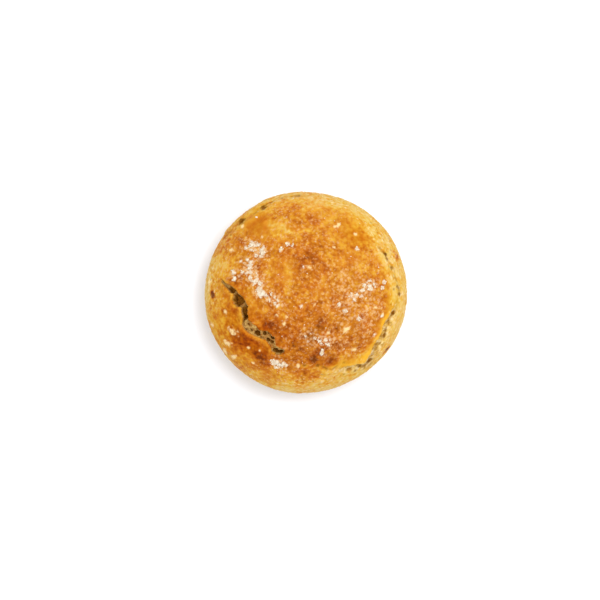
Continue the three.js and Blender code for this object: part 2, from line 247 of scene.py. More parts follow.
class RollShape(bpy.types.PropertyGroup):
    """Sizes of the roll."""

    diameter: length_of("Diameter", "Width of the roll in plan", ROLL_WIDTH)
    height: length_of("Height", "Height of the dome above the base", 50 * MM)
    widest_share: share_of("Widest ring", "Height of the widest ring as a share of the height", 0.38)
    base_cut_share: share_of("Base cut", "Height that the flat base takes off, as a share", 0.16)
    crown_fullness: setting("Crown fullness", "Power of the dome's oval profile; 2 is an ellipse", 2.25)
    underside_fullness: setting("Underside fullness", "Power of the underside's oval profile", 2.4)
    base_round: length_of("Base rounding", "Rounding of the edge of the base", 1.4 * MM)
    swell_height: length_of("Swell", "Height of each broad wave of the dough", 0.32 * MM)
    split_depth: length_of("Split depth", "Greatest depth of the gap under the crumb", 8 * MM)
    split_lean: share_of("Split lean", "How far the bottom reaches under the lower left lip", 0.3)
    lip_height: length_of("Lip height", "Height of the lips beside the split", 0.9 * MM)
    lip_reach: length_of("Lip reach", "Distance over which the lips rise", 4.5 * MM)
    ridge_height: length_of("Ridge height", "Height of the rolled ridge beside the split", 0.5 * MM)
    tear_depth: length_of("Tear depth", "Step from the cap down to the torn ledge", 1.9 * MM)
    tear_ledge: length_of("Tear ledge", "Width of the torn ledge, seen from above", 3.2 * MM)
    fold_depth: length_of("Fold depth", "Depth of the folds in the cap", 0.9 * MM)
    fold_reach: length_of("Fold reach", "Half the width of the folds", 3 * MM)
    lump_height: length_of("Lumps", "Height of the uneven lumps of the crust", 0.5 * MM)
    blister_height: length_of("Blisters", "Height of small blisters in the crust", 0.22 * MM)
    pebble_height: length_of("Pebbles", "Height of the crust's pebbled skin", 0.22 * MM)


class RollColours(bpy.types.PropertyGroup):
    """Colours of crust, crumb and flour."""

    yolk: colour_of("Yolk", "Thin yellow edge of the torn crust", (0.86, 0.625, 0.13))
    pale: colour_of("Pale", "Least baked crust at the rim", (0.79, 0.67, 0.40))
    golden: colour_of("Golden", "Lightly baked crust", (0.772, 0.623, 0.284))
    yellow: colour_of("Yellow", "Crust that is turning orange", (0.762, 0.55, 0.163))
    orange: colour_of("Orange", "Baked crust", (0.722, 0.475, 0.122))
    amber: colour_of("Amber", "Well baked crust", (0.672, 0.392, 0.072))
    brown: colour_of("Brown", "Dark crust", (0.568, 0.286, 0.022))
    scorched: colour_of("Scorched", "Darkest crust", (0.4, 0.178, 0.018))
    speckle: colour_of("Speckle", "Fine floury speckle all over the cap", (0.787, 0.628, 0.447))
    fleck: colour_of("Fleck", "Pale flecks of dough on the crust", (0.865, 0.76, 0.55))
    flour: colour_of("Flour", "Dry flour", (0.852, 0.82, 0.742))
    crumb: colour_of("Crumb", "Torn crumb", (0.608, 0.452, 0.236))
    # Painted shade: the hollow colour is a dark brown laid into holes, pores, grooves and creases where
    # shade falls.
    hollow_shade: colour_of("Hollow", "Walls of holes in the crumb", (0.495, 0.305, 0.05))


class RollFlour(bpy.types.PropertyGroup):
    """Amount and size of the loose flour."""

    clumps: bpy.props.IntProperty(name="Clumps", description="Lumps of flour in the patches", default=1300)
    strays: bpy.props.IntProperty(name="Strays", description="Grains strewn over the whole cap", default=70)
    clump_radius: length_of("Clump radius", "Middle radius of the lumps", 0.2 * MM)
    stray_radius: length_of("Stray radius", "Middle radius of the strewn grains", 0.18 * MM)


class RollStage(bpy.types.PropertyGroup):
    """Floor, light and camera."""

    floor_side: length_of("Floor side", "Side of the square floor", 6.0)
    floor_colour: colour_of("Floor", "Colour of the plain floor", (0.92, 0.93, 0.955))
    sky_strength: setting("Sky", "Strength of the even white light", 1.15)
    key_power: setting("Key power", "Power of the soft light at the upper right", 8.0, unit="POWER")
    key_side: length_of("Key side", "Side of the square soft light", 0.5)
    camera_height: length_of("Camera height", "Height of the camera above the widest ring", 1.2)
    frame_side: length_of("Frame side", "What the picture's side spans at the widest ring", 283 * MM)


class BreadRoll(bpy.types.PropertyGroup):
    """All settings of the bread roll."""

    shape: bpy.props.PointerProperty(type=RollShape)
    colours: bpy.props.PointerProperty(type=RollColours)
    flour: bpy.props.PointerProperty(type=RollFlour)
    stage: bpy.props.PointerProperty(type=RollStage)


def bump(distance, reach):
    """Height 1 at distance 0, falling along half a cosine wave to 0 at the reach."""
    share = np.clip(np.abs(distance) / reach, 0, 1)
    return 0.5 + 0.5 * np.cos(np.pi * share)


def ease(value, low, high):
    """0 up to low, 1 from high on, and an S-shaped rise between them."""
    share = np.clip((value - low) / (high - low), 0, 1)
    return share * share * (3 - 2 * share)


def span(share, opens, closes):
    """1 between the range of a share over which something opens and the range over which it closes."""
    return ease(share, *opens) * (1 - ease(share, *closes))


def unit(vectors):
    """Vectors brought to length 1."""
    return vectors / np.linalg.norm(vectors, axis=-1, keepdims=True)


def left_of(run):
    """Directions to the left of runs in plan."""
    return unit(np.stack([-run[..., 1], run[..., 0]], axis=-1))


def to_polar(places):
    """Bearing and distance from the middle, in plan."""
    return np.arctan2(places[:, 1], places[:, 0]), np.hypot(places[:, 0], places[:, 1])


def from_polar(bearing, distance):
    """Places in plan at a bearing and a distance from the middle."""
    return np.column_stack([distance * np.cos(bearing), distance * np.sin(bearing)])


def face_normals(points, faces):
    """Outward normals of triangles, each as long as twice its area."""
    first, second, third = (points[faces[:, corner]] for corner in range(3))
    return np.cross(second - first, third - first)


def smooth_path(knots):
    """A curve through the knots, sampled evenly along its length.

    Between two knots it is the cubic whose slope at each is half the step from the knot before it to the
    knot after it.
    """
    knots = np.array(knots) * MM
    padded = np.vstack([2 * knots[0] - knots[1], knots, 2 * knots[-1] - knots[-2]])
    before, start, end, after = (padded[first:len(padded) - 3 + first, None, :] for first in range(4))
    t = np.linspace(0, 1, PATH_STEPS, endpoint=False)[None, :, None]
    bend = 2 * before - 5 * start + 4 * end - after + t * (3 * (start - end) + after - before)
    curve = start + 0.5 * t * (end - before + t * bend)
    curve = np.vstack([curve.reshape(-1, 2), knots[-1:]])
    length = np.concatenate([[0], np.cumsum(np.linalg.norm(np.diff(curve, axis=0), axis=1))])
    even = np.linspace(0, length[-1], PATH_SAMPLES)
    return np.column_stack([np.interp(even, length, curve[:, axis]) for axis in (0, 1)])


def path_length(path):
    """Length of a path."""
    return np.linalg.norm(np.diff(path, axis=0), axis=1).sum()


def follow(path, plan):
    """Share of a path's length beside each place in plan, the distance to its left, and that direction.

    Each place is dropped square onto the two pieces of the path that meet at its nearest sample, and the
    nearer of both feet counts.
    """
    squares = (plan**2).sum(axis=1)[:, None] - 2 * plan @ path.T + (path**2).sum(axis=1)
    pieces = np.clip(squares.argmin(axis=1)[:, None] - (1, 0), 0, len(path) - 2)
    run = path[pieces + 1] - path[pieces]
    reach = plan[:, None] - path[pieces]
    foot = np.clip((reach * run).sum(axis=2) / (run**2).sum(axis=2), 0, 1)
    gap = reach - foot[..., None] * run
    distance = np.linalg.norm(gap, axis=2)
    side = left_of(run)
    offset = np.copysign(distance, (gap * side).sum(axis=2))
    share = (pieces + foot) / (len(path) - 1)
    pick = (np.arange(len(plan)), distance.argmin(axis=1))
    return share[pick], offset[pick], side[pick]


def lattice_noise(points, cell, seed):
    """Smooth noise about 0: random slopes at the corners of a cubic lattice, blended by a quintic ease.

    The side of the lattice's cells is in mm.
    """
    slopes = unit(np.random.default_rng(seed).normal(size=(NOISE_PERIOD,) * 3 + (3,)))
    place = points / (cell * MM)
    corner = np.floor(place).astype(int)
    part = place - corner
    blend = part**3 * (part * (6 * part - 15) + 10)
    total = np.zeros(len(points))
    for offset in itertools.product((0, 1), repeat=3):
        index = (corner + offset) % NOISE_PERIOD
        slope = slopes[index[:, 0], index[:, 1], index[:, 2]]
        weight = np.where(offset, blend, 1 - blend).prod(axis=1)
        total += weight * (slope * (part - offset)).sum(axis=1)
    return total


def layered_noise(points, *layers):
    """Sum of noises, each given by its cell in mm, its seed and its weight."""
    return sum(weight * lattice_noise(points, cell, seed) for cell, seed, weight in layers)


def nearest_seed(points, cell, seed):
    """Distance, in cells, to the nearest of points strewn one to a cell of a cubic lattice, and its draw.

    The side of the lattice's cells is in mm.
    """
    rng = np.random.default_rng(seed)
    strewn = rng.random((NOISE_PERIOD,) * 3 + (3,))
    draws = rng.random((NOISE_PERIOD,) * 3)
    place = points / (cell * MM)
    corner = np.floor(place).astype(int)
    best = np.full(len(points), np.inf)
    drawn = np.zeros(len(points))
    for offset in itertools.product((-1, 0, 1), repeat=3):
        index = (corner + offset) % NOISE_PERIOD
        key = (index[:, 0], index[:, 1], index[:, 2])
        distance = np.linalg.norm(corner + offset + strewn[key] - place, axis=1)
        nearer = distance < best
        best = np.where(nearer, distance, best)
        drawn = np.where(nearer, draws[key], drawn)
    return best, drawn


def outline_radius(shape, bearing):
    """Half the diameter, times 1 plus a few cosine waves round the roll."""
    lobes = sum(share * np.cos(count * (bearing - peak)) for count, peak, share in OUTLINE_LOBES)
    return shape.diameter / 2 * (1 + lobes)


def outline_middle(shape):
    """Middle of the outline's box in plan, which the frame puts at the origin."""
    bearing = np.linspace(0, 2 * np.pi, OUTLINE_SAMPLES)
    edge = from_polar(bearing, outline_radius(shape, bearing))
    return np.append((edge.min(axis=0) + edge.max(axis=0)) / 2, 0)


def body_point(shape, direction):
    """Smooth body in a direction from its middle: radius and height are powers of the direction's own.

    Above the widest ring it is a dome, below it a bowl, each an oval turned round the middle.
    """
    crown = direction[:, 2] >= 0
    power = 2 / np.where(crown, shape.crown_fullness, shape.underside_fullness)
    widest = shape.height * shape.widest_share
    rise = np.where(crown, shape.height - widest, -widest - shape.height * shape.base_cut_share)
    bearing, spread = to_polar(direction)
    height = widest + rise * np.abs(direction[:, 2]) ** power
    return np.column_stack([from_polar(bearing, outline_radius(shape, bearing) * spread**power), height])


def outward(shape, points):
    """Outward direction of the body, as on an ellipsoid of its half-axes."""
    widest = shape.height * shape.widest_share
    above = points[:, 2] > widest
    tall = np.where(above, shape.height - widest, widest + shape.height * shape.base_cut_share)
    wide = np.full(len(points), shape.diameter / 2)
    return unit((points - (0, 0, widest)) / np.column_stack([wide, wide, tall]) ** 2)


def swell(shape, direction):
    """Broad swellings: sine waves along directions spread by the golden angle, faded at the widest ring."""
    waves = 7
    lowest = 3.2
    total = np.zeros(len(direction))
    for wave in range(waves):
        level = 1 - (2 * wave + 1) / waves
        ring = math.sqrt(1 - level * level)
        bearing = wave * GOLDEN_ANGLE
        course = np.array([ring * math.cos(bearing), ring * math.sin(bearing), level])
        total += np.sin((lowest + wave / 2) * direction @ course + bearing)
    return shape.swell_height * np.abs(direction[:, 2]) * total


def disc_grid(half):
    """Bearing and distance, up to 1, of a square grid's points laid into a disc.

    Each square round the middle becomes a circle: its half-side is the distance, and the place along the
    side, over the half-side, is the share of an eighth turn from the side's middle.
    """
    step = np.arange(-half, half + 1) / half
    across, up = np.meshgrid(step, step, indexing="ij")
    sideways = np.abs(across) >= np.abs(up)
    long = np.where(sideways, across, up)
    short = np.where(sideways, up, across)
    eighth = np.pi / 4 * short / np.where(long == 0, 1, long)
    bearing = np.where(sideways, eighth, np.pi / 2 - eighth) + np.where(long < 0, np.pi, 0)
    return bearing.ravel(), np.abs(long).ravel()


def sheet_faces(ids):
    """Two triangles for each square of a sheet of indices, from its rows round to its columns."""
    near, right = ids[:-1, :-1].ravel(), ids[1:, :-1].ravel()
    far, corner = ids[:-1, 1:].ravel(), ids[1:, 1:].ravel()
    return np.vstack([np.column_stack([near, right, corner]), np.column_stack([near, corner, far])])


def sheet_rim(ids):
    """Border of a sheet of indices, anticlockwise from the corner of its last row and first column."""
    return np.concatenate([ids[-1, :-1], ids[:0:-1, -1], ids[0, :0:-1], ids[:-1, 0]])


def grid_ids(half, first=0):
    """Indices of a square grid's points, as a sheet."""
    side = 2 * half + 1
    return first + np.arange(side * side).reshape(side, side)


def ring_faces(upper, lower):
    """Two triangles for each square between two rings of as many points."""
    upper_next, lower_next = np.roll(upper, -1), np.roll(lower, -1)
    return np.vstack([
        np.column_stack([upper, lower, lower_next]),
        np.column_stack([upper, lower_next, upper_next]),
    ])


def halving_faces(upper, lower):
    """Three triangles for each two steps of the upper ring over one step of the lower."""
    first, second, third = upper[::2], upper[1::2], np.roll(upper[::2], -1)
    lower_next = np.roll(lower, -1)
    return np.vstack([
        np.column_stack([first, lower, second]),
        np.column_stack([second, lower, lower_next]),
        np.column_stack([second, lower_next, third]),
    ])


def direction_from(bearing, slope):
    """Unit directions at a bearing and an angle from straight up."""
    return np.column_stack([from_polar(bearing, np.sin(slope)), np.cos(slope)])


def crown_direction(shape, plan):
    """The direction in which the smooth crown lies over a place in plan."""
    bearing, distance = to_polar(plan)
    share = np.clip(distance / outline_radius(shape, bearing), 0, 1)
    return direction_from(bearing, np.arcsin(share ** (shape.crown_fullness / 2)))


def split_edges(share):
    """Offsets of the split's lower left and upper right edge at shares of its length."""
    shares, lower, upper = np.array(SPLIT_EDGES).T
    return np.interp(share, shares, lower) * MM, np.interp(share, shares, upper) * MM


def split_lips(shape, share, offset):
    """Height of the lips beside the split: a broad rise, and a rolled ridge along the lower left edge."""
    lower, _ = split_edges(share)
    length = np.sin(np.pi * np.clip(share, 0, 1))
    ridge = shape.ridge_height * bump(offset - lower + 1.6 * MM, 2.2 * MM) * length**0.5
    return shape.lip_height * length * bump(offset, shape.lip_reach) + ridge


def tear_fullness(share):
    """Depth and width along the torn ledge: greatest a little past its middle."""
    deepest, rise, fall, ends = 0.58, 0.8, 0.44, 0.05
    return ends + (1 - ends) * bump(share - deepest, np.where(share < deepest, rise, fall))


def drawn_to(path, plan, draw, reach):
    """Places in plan drawn towards a path, so that its lips get more points than the rest."""
    share, offset, left = follow(path, plan)
    pull = draw * offset * np.exp(-((offset / reach) ** 2)) * np.sin(np.pi * share) ** 0.5
    return plan - pull[:, None] * left


def crown_plan(shape):
    """Places in plan of the crown's grid: even steps of slope from the top to the widest ring."""
    bearing, distance = disc_grid(CROWN_HALF)
    radius = outline_radius(shape, bearing) * np.sin(distance * np.pi / 2) ** (2 / shape.crown_fullness)
    plan = drawn_to(SPLIT_PATH, from_polar(bearing, radius), 0.6, 3.4 * MM)
    return drawn_to(TEAR_PATH, plan, 0.5, 2.4 * MM)


def spot_sum(plan, spots):
    """Sum of round bumps in plan, each of its own reach and amount."""
    total = np.zeros(len(plan))
    for x, y, reach, amount in spots:
        total += amount * bump(np.hypot(plan[:, 0] - x * MM, plan[:, 1] - y * MM), reach * MM)
    return total


def rim_spot_sum(shape, points, spots):
    """Sum of ragged bumps in space about places of the crown, each of its own reach and amount."""
    x, y, reach, amount = np.array(spots).T
    centres = body_point(shape, crown_direction(shape, np.column_stack([x, y]) * MM))
    ragged = 1 + 0.9 * lattice_noise(points, 2.4, 67)
    gaps = np.linalg.norm(points[:, None] - centres, axis=2) * ragged[:, None]
    return (amount * bump(gaps, reach * MM)).sum(axis=1)


def cap_inset(plan):
    """How far a place lies inside the edge of the browned cap, in half widths of that edge."""
    bearings, radii, widths = np.array(CAP_EDGE).T
    bearing, distance = to_polar(plan)
    degrees = np.degrees(bearing)
    edge, width = (np.interp(degrees, bearings, column, period=360) * MM for column in (radii, widths))
    return (edge - distance) / width


def oval_distance(plan, centre, half_length, half_width, bearing):
    """Distance from the middle of an oval in plan, which is 1 at its edge; its length has a bearing."""
    along = np.array([math.cos(bearing), math.sin(bearing)])
    gap = plan - centre
    return np.hypot(gap @ along / half_length, gap @ np.array([-along[1], along[0]]) / half_width)


def deepen(masks, name, value):
    """Raises a mask to a value where that is higher."""
    masks[name] = np.maximum(masks[name], value)


def rebake(masks, share, tone):
    """Draws the browning towards a tone by a share."""
    masks["bake"] += share * (tone - masks["bake"])


def split_relief(shape, plan, masks):
    """Lift and sideways slide of the crust at the split: lips, then a leaning gap.

    The lower left edge hangs over the gap, and the upper right edge slopes down under it.
    """
    share, offset, left = follow(SPLIT_PATH, plan)
    lower, upper = split_edges(share)
    ragged = 0.7 * MM * lattice_noise(np.column_stack([plan, 0 * share]), 1.8, 21)
    rolled = ease(offset + 0.6 * ragged, lower - 0.5 * MM, lower + 0.4 * MM)
    broken = 1 - ease(offset + ragged, upper - 0.4 * MM, upper + 0.3 * MM)
    depth = shape.split_depth * rolled * broken * span(share, (0, 0.04), (0.97, 1))
    across = ease(offset, lower, upper)
    # Painted shade darkens the gap as it deepens, soonest under the lower left lip.
    deepen(masks, "torn", ease(depth, 0.9 * MM, 1.5 * MM))
    deepen(masks, "hollow_shade", ease(depth, (0.9 + 1.3 * across) * MM, (2 + 2.5 * across) * MM))
    beside = bump(offset - lower + 1.1 * MM, 1.9 * MM) * np.sin(np.pi * share) ** 0.5
    rebake(masks, 0.8 * beside, 0.42)
    return split_lips(shape, share, offset) - depth, (-shape.split_lean * depth)[:, None] * left


def pits(points, cell, seed, chance, radius=0.38):
    """Round pits from 0 to 1 in a share of a lattice's cells, with radii about one given in cells."""
    distance, draw = nearest_seed(points, cell, seed)
    reach = radius * (0.5 + draw / chance)
    return np.sqrt(np.clip(1 - (distance / reach) ** 2, 0, 1)) * (draw < chance)


def strip_place(path, share, offset, drawn_out):
    """Places for noise that follows a path: its length, drawn out, and the distance beside it."""
    return np.column_stack([share * path_length(path) / drawn_out, offset, 0 * share])


def crack_relief(path, plan, points, seed, opens, closes, clear, masks):
    """Lift and depth at a broken crack along a path: uneven pores in a row, with low ridges beside them.

    The crack opens and closes over two ranges of the path's share, and its ridges and groove are more or
    less clear.
    """
    share, offset, _ = follow(path, plan)
    within = span(share, opens, closes)
    offset = offset + 1.1 * MM * lattice_noise(points, 6, seed)
    ragged = offset + 0.5 * MM * lattice_noise(points, 1.3, seed)
    pores = pits(strip_place(path, share, ragged, 2.2), 1.9, seed, 0.85, 0.4) * bump(offset, 1.2 * MM)
    groove = clear * bump(offset, 0.9 * MM) * ease(lattice_noise(points, 3, seed + 1), -0.2, 0.35)
    ridges = bump(np.abs(offset) - 1.8 * MM, 1.7 * MM) * within
    # Painted shade darkens the pores and the groove.
    deepen(masks, "hollow_shade", np.maximum((0.5 + 0.4 * clear) * pores, 0.55 * groove) * within)
    rebake(masks, clear * ridges, 0.14)
    return 0.4 * MM * ridges, (1.2 * MM * pores + 0.7 * MM * groove) * within


def tear_relief(shape, plan, points, masks):
    """Lift and depth of the crust at the torn ledge: a proud lip, a groove and a porous step that runs out.

    The ledge opens along the later part of its path, where the crack ends.
    """
    share, offset, _ = follow(TEAR_PATH, plan)
    late = ease(share, 0.36, 0.46)
    fullness = tear_fullness(share) * (0.3 + 0.7 * late)
    beyond = offset + MM * late * layered_noise(points, (4.5, 22, 0.7), (1.6, 23, 0.4))
    ledge = shape.tear_ledge * (0.4 + 0.6 * fullness)
    step = ease(beyond, 0, 0.5 * MM) * (1 - ease(beyond, 0.6 * ledge, 1.9 * ledge))
    opened = late * ease(fullness, 0.05, 0.35)
    torn = step * opened
    strip = strip_place(TEAR_PATH, share, offset, 1.6)
    shreds = layered_noise(strip, (2, 26, 1), (1, 27, 0.6))
    pockets = ease(lattice_noise(strip, 2, 28), -0.2, 0.2)
    groove = bump(beyond - 1.3 * MM, 1.6 * MM) * opened * (0.35 + 0.65 * pockets)
    edge = 1 - ease(beyond, -0.1 * MM, 0.4 * MM)
    collar = edge * span(share, (0.2, 0.34), (0.92, 1))
    smooth = collar * ease(beyond, -4 * MM, -1.5 * MM)
    lip = ease(beyond, -3 * MM, -1 * MM) * edge * opened
    pores = pits(strip, 1.7, 24, 0.6) * torn
    creases = ease(-shreds, 0.1, 0.5) * torn
    deepen(masks, "torn", (0.85 + 0.9 * shreds).clip(0, 1) * torn)
    deepen(masks, "calm", 0.75 * smooth)
    # Painted shade darkens the pores, the groove and the low creases between the shreds.
    deepen(masks, "hollow_shade", np.max([0.85 * pores, 0.65 * groove, 0.6 * creases], axis=0))
    rebake(masks, 0.8 * collar * ease(beyond, -2.2 * MM, -0.7 * MM), 0.3)
    # Raised shreds are painted paler through the relief mask, a painted highlight.
    masks["relief_highlight"] += 2 * shreds * torn
    masks["flour"] -= 0.4 * smooth
    uneven = np.clip(0.4 + 1.8 * lattice_noise(strip, 3.5, 49), 0, 1)
    wide = 1.5 * MM + 2 * MM * bump(share - 0.75, 0.08)
    masks["lip"] = collar * opened * ease(beyond, -wide, -wide / 3) * uneven * (1 - ease(share, 0.78, 0.92))
    sunk = 0.7 * shape.tear_depth * fullness * step + 1.5 * MM * groove + 0.9 * MM * pores
    return 0.55 * MM * lip, sunk - 0.9 * MM * shreds * torn


def fold_relief(shape, plan, points, masks):
    """Lift of the crust at the folds: broken shallow furrows along their paths, baked a little lighter.

    The first fold has a narrow broken crease along its middle, which fades towards its end.
    """
    furrow = np.max([bump(follow(path, plan)[1], shape.fold_reach) for path in FOLD_PATHS], axis=0)
    furrow *= 0.5 + 0.5 * ease(lattice_noise(points, 6, 50), -0.2, 0.25)
    share, offset, _ = follow(FOLD_PATHS[0], plan)
    crease = bump(offset + 1.4 * MM * lattice_noise(points, 4, 68), 1.3 * MM)
    crease *= ease(lattice_noise(points, 3, 69), -0.3, 0.1) * (1 - 0.6 * ease(share, 0.5, 0.8))
    masks["bake"] -= 0.26 * furrow + 0.12 * crease
    return -shape.fold_depth * (furrow + 0.4 * crease)


def curl_relief(plan, points, masks):
    """Lift of the crust at the curl: a narrow crease darkened by painted shade, and outside it a raised lip,
    baked lighter.
    """
    share, offset, _ = follow(CURL_PATH, plan)
    within = span(share, (0, 0.2), (0.75, 1))
    offset = offset + 0.8 * MM * lattice_noise(points, 3, 70)
    crease = within * bump(offset, 0.8 * MM) * ease(lattice_noise(points, 2, 71), -0.35, 0.1)
    lip = within * bump(offset + 1.5 * MM, 1.5 * MM)
    deepen(masks, "hollow_shade", 0.6 * crease)
    rebake(masks, 0.7 * lip, 0.22)
    return 0.5 * MM * lip - 0.7 * MM * crease


def pinhole_relief(shape, plan, points, masks):
    """Depth of the pinholes: ragged upright pits, longer along the seam than across it, with pale rims."""
    stretch, depth = 1.4, 1.4
    ragged = 1 + layered_noise(points, (1.4, 47, 0.8), (0.8, 48, 0.5))
    dug = np.zeros(len(plan))
    for bearing, share, radius, open_share in PINHOLES:
        turn, width = math.radians(bearing), radius * MM
        centre = share * outline_radius(shape, turn) * np.array([math.cos(turn), math.sin(turn)])
        far = ragged * oval_distance(plan, centre, stretch * width, width, turn + math.pi / 2)
        pit = open_share * np.clip(1 - far**2, 0, 1) ** 0.5
        dug = np.maximum(dug, depth * width * pit)
        # Painted shade darkens each pit.
        deepen(masks, "hollow_shade", ease(pit, 0, 0.9))
        masks["bake"] -= 0.12 * bump(far, 2.2)
    return dug


def fleck_mask(plan, points):
    """Mask of the pale flecks: ovals with ragged edges."""
    ragged = layered_noise(points, (1.6, 43, 0.9), (0.8, 44, 0.8))
    mask = np.zeros(len(plan))
    for x, y, half_length, half_width, bearing in PALE_FLECKS:
        far = oval_distance(plan / MM, (x, y), half_length, half_width, math.radians(bearing))
        mask = np.maximum(mask, ease(1.1 - far + ragged, 0, 0.8))
    return mask


def dust_mask(plan, points, flour):
    """Mask of the flour's heaps: one uneven grain to a cell of a lattice, wider where more flour lies.

    The single lumps are added at their own places, with ragged edges.
    """
    wobble = np.column_stack([lattice_noise(points, 1.1, seed) for seed in (61, 62, 63)])
    distance, draw = nearest_seed(points + 0.7 * MM * wobble, 1.7, 64)
    reach = (0.15 + 0.5 * flour) * (0.4 + 0.8 * draw)
    grains = ease(reach - distance, -0.08, 0.12) * ease(flour, 0.35, 0.6)
    return np.maximum(grains, ease(spot_sum(plan, FLOUR_LUMPS) + 0.8 * wobble[:, 0], 0.3, 0.7))


def crust_noise(shape, points):
    """Height of the crust's uneven skin, of lumps, blisters, pebbles and grains, and that relief as a
    painted highlight.
    """
    distance, draw = nearest_seed(points, 3, 33)
    blisters = bump(distance, 0.62) * ease(draw, 0.45, 0.8)
    distance, draw = nearest_seed(points, 1.5, 45)
    grains = bump(distance, 0.6) * (0.3 + 0.7 * draw) - 0.25
    lumps = layered_noise(points, (11, 31, 1), (5, 32, 0.5))
    pebbles = layered_noise(points, (1.9, 34, 1), (1.1, 35, 0.5))
    lift = shape.lump_height * lumps + shape.blister_height * blisters
    lift += shape.pebble_height * (pebbles + grains)
    return lift, pebbles + 0.5 * blisters + 1.2 * grains


def rim_place(points):
    """Places for the rim's noise: the way round, as on a circle near the rim, and the way down the side."""
    circle = 47
    _, radius = to_polar(points)
    ring = points[:, :2] / np.maximum(radius, MM)[:, None] * circle * MM
    return np.column_stack([ring, radius - points[:, 2]])


def dress_crown(shape, plan, upward, points, masks):
    """Fills the crown's masks, and gives its lift, its slide and its distance inside the cap's edge."""
    inset = cap_inset(plan) + 0.9 * layered_noise(points, (8, 41, 1), (3, 42, 0.6))
    cap = ease(inset, -1, 1)
    browning = cap * (0.2 + 0.22 * ease(inset, 0, 2.5))
    spots = spot_sum(plan, BAKE_SPOTS) * (0.4 + 0.6 * cap) * ease(upward, 0, 0.15)
    tinges = layered_noise(points, (5, 65, 1), (2.2, 66, 0.8))
    quiet = 0.5 * ease(lattice_noise(points, 14, 46), 0, 0.35)
    masks["cap"] = cap
    masks["bake"] = 0.2 + browning + spots + rim_spot_sum(shape, points, RIM_SPOTS)
    masks["flour"] = np.clip(spot_sum(plan, FLOUR_PATCHES), -0.4, 1)
    masks["dust"] = dust_mask(plan, points, masks["flour"])
    masks["fleck"] = fleck_mask(plan, points)
    masks["ruddy"] = np.clip(spot_sum(plan, RUDDY_SPOTS) + tinges, -1, 1)
    masks["calm"] = np.clip(spot_sum(plan, CALM_SPOTS) + quiet, -0.6, 1)
    lips, slide = split_relief(shape, plan, masks)
    reliefs = [
        crack_relief(TEAR_PATH, plan, points, 25, (0, 0.05), (0.34, 0.42), 0.85, masks),
        crack_relief(SEAM_PATH, plan, points, 29, (0, 0.04), (0.85, 1), 0.3, masks),
        tear_relief(shape, plan, points, masks),
    ]
    raised, sunk = (sum(column) for column in zip(*reliefs))
    lift = lips + raised + fold_relief(shape, plan, points, masks) + curl_relief(plan, points, masks)
    lift += 0.25 * MM * masks["fleck"] + 0.2 * MM * masks["dust"]
    sunk += pinhole_relief(shape, plan, points, masks)
    return lift, np.column_stack([slide, -sunk]), inset


def crust_surface(shape):
    """Points, triangles and masks of the whole crust.

    The crown is a square grid laid into a disc and lifted onto the dome, the side is rings of half as many
    points as the grid's rim, and the base is a coarser grid. Heights below the base are eased to zero.
    """
    plan = crown_plan(shape)
    crown = crown_direction(shape, plan)
    side_points = 4 * CROWN_HALF
    ring_bearings = -np.pi / 4 + 2 * np.pi * np.arange(side_points) / side_points
    slopes = np.linspace(np.pi / 2, SIDE_END, SIDE_RINGS + 2)[1:-1]
    side = direction_from(np.tile(ring_bearings, SIDE_RINGS), np.repeat(slopes, side_points))
    base_bearing, base_distance = disc_grid(BASE_HALF)
    base = direction_from(base_bearing, np.pi - base_distance * (np.pi - SIDE_END))
    direction = np.vstack([crown, side, base])
    upward = direction[:, 2]
    top, below = slice(len(crown)), slice(len(crown), None)

    smooth = body_point(shape, direction)
    normal = outward(shape, smooth)
    skin, relief_highlight = crust_noise(shape, smooth)
    even = 0.55 + 0.45 * ease(np.abs(upward), 0, 0.35) - 0.6 * ease(-upward, 0.5, 0.7)
    lift = swell(shape, direction) + skin * even
    slide = np.zeros_like(smooth)
    masks = {name: np.zeros(len(direction)) for name in MASK_NAMES}
    masks["relief_highlight"] = relief_highlight
    crown_masks = {name: mask[top] for name, mask in masks.items()}
    crown_lift, slide[top], inset = dress_crown(shape, plan, upward[top], smooth[top], crown_masks)
    lift[top] += crown_lift
    for name, mask in crown_masks.items():
        masks[name][top] = mask
    masks["bake"][below] = 0.2 + 0.3 * ease(-upward[below], 0.35, 0.75)

    rim = ease(smooth[:, 2], 6 * MM, 14 * MM)
    rim[top] *= 1 - ease(inset, -0.3, 1.2)
    place = rim_place(smooth)
    grain = layered_noise(place, (1.8, 36, 1), (0.95, 37, 0.7))
    pores = rim * pits(place, 2.2, 38, 0.2, 0.26)
    # The rim's raised grain is painted paler through the relief mask, a painted highlight, and its pores get
    # painted shade.
    lift += 0.3 * MM * grain * rim - 0.5 * MM * pores
    masks["relief_highlight"] += 2 * grain * rim
    deepen(masks, "fleck", 0.8 * rim * ease(grain, 0.3, 0.55))
    deepen(masks, "hollow_shade", 0.6 * pores)

    points = smooth + lift[:, None] * normal + slide
    points[:, 2] = 0.5 * (points[:, 2] + np.hypot(points[:, 2], shape.base_round))
    points[:, 2] -= points[:, 2].min()
    points -= outline_middle(shape)

    rings = len(crown) + np.arange(SIDE_RINGS * side_points).reshape(SIDE_RINGS, side_points)
    crown_ids, base_ids = grid_ids(CROWN_HALF), grid_ids(BASE_HALF, len(crown) + len(side))
    faces = [sheet_faces(crown_ids), halving_faces(sheet_rim(crown_ids), rings[0])]
    faces += [ring_faces(rings[ring], rings[ring + 1]) for ring in range(SIDE_RINGS - 1)]
    faces += [halving_faces(rings[-1], sheet_rim(base_ids)), sheet_faces(base_ids)[:, ::-1]]
    return points, np.vstack(faces), masks


